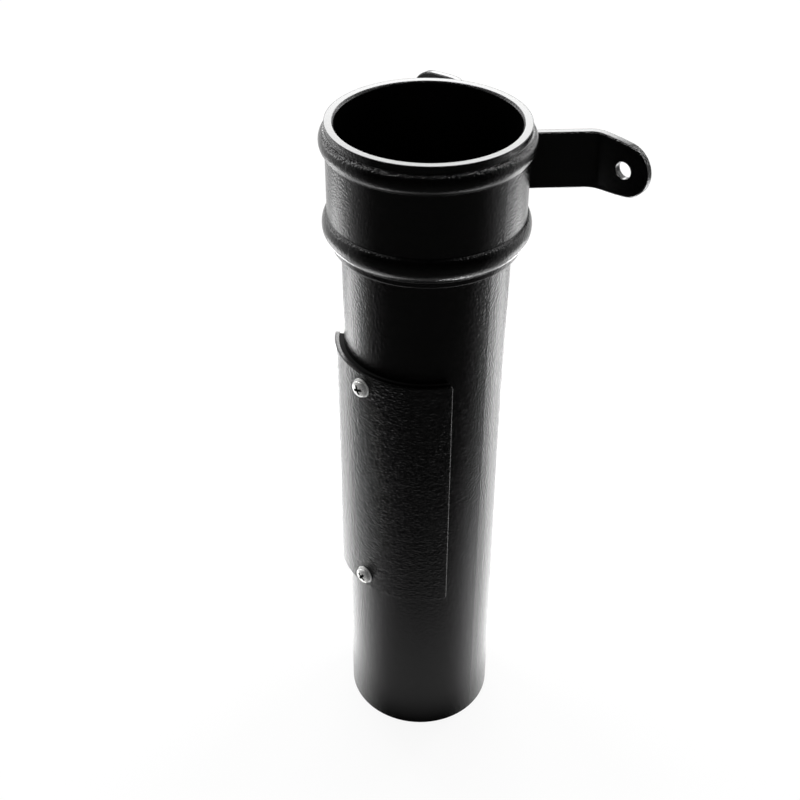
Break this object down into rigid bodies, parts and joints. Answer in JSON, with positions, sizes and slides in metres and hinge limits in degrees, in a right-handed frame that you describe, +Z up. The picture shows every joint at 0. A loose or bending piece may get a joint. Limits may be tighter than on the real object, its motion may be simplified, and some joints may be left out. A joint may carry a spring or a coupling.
{
  "type": "rainwater access pipe",
  "caption": "Round black rainwater access pipe: a straight pipe with a beaded, eared socket collar at the top and a curved screwed-on access door.",
  "frame": {"origin": "centre of the pipe's lower end, on the pipe's axis", "axes": "+Z up along the pipe towards the socket; -Y out through the access door; +Y towards the wall that the ears fix to; the ears are alike either side of X = 0"},
  "size_m": [0.1454, 0.1207, 0.3598],
  "materials": {
    "pipe_powder_coat": "extruded aluminium with a fine-textured black powder coat",
    "cast_powder_coat": "cast aluminium with a black powder coat over the casting's texture",
    "door_powder_coat": "rolled aluminium sheet with a fine-textured black powder coat",
    "gasket_rubber": "matt black rubber",
    "screw_steel": "bright stainless steel"
  },
  "bodies": {
    "root": {"pipe": "pipe_powder_coat", "collar": "cast_powder_coat", "door_gasket": "gasket_rubber", "access_door": "door_powder_coat", "screw_upper": "screw_steel", "screw_lower": "screw_steel"}
  },
  "joints": []
}
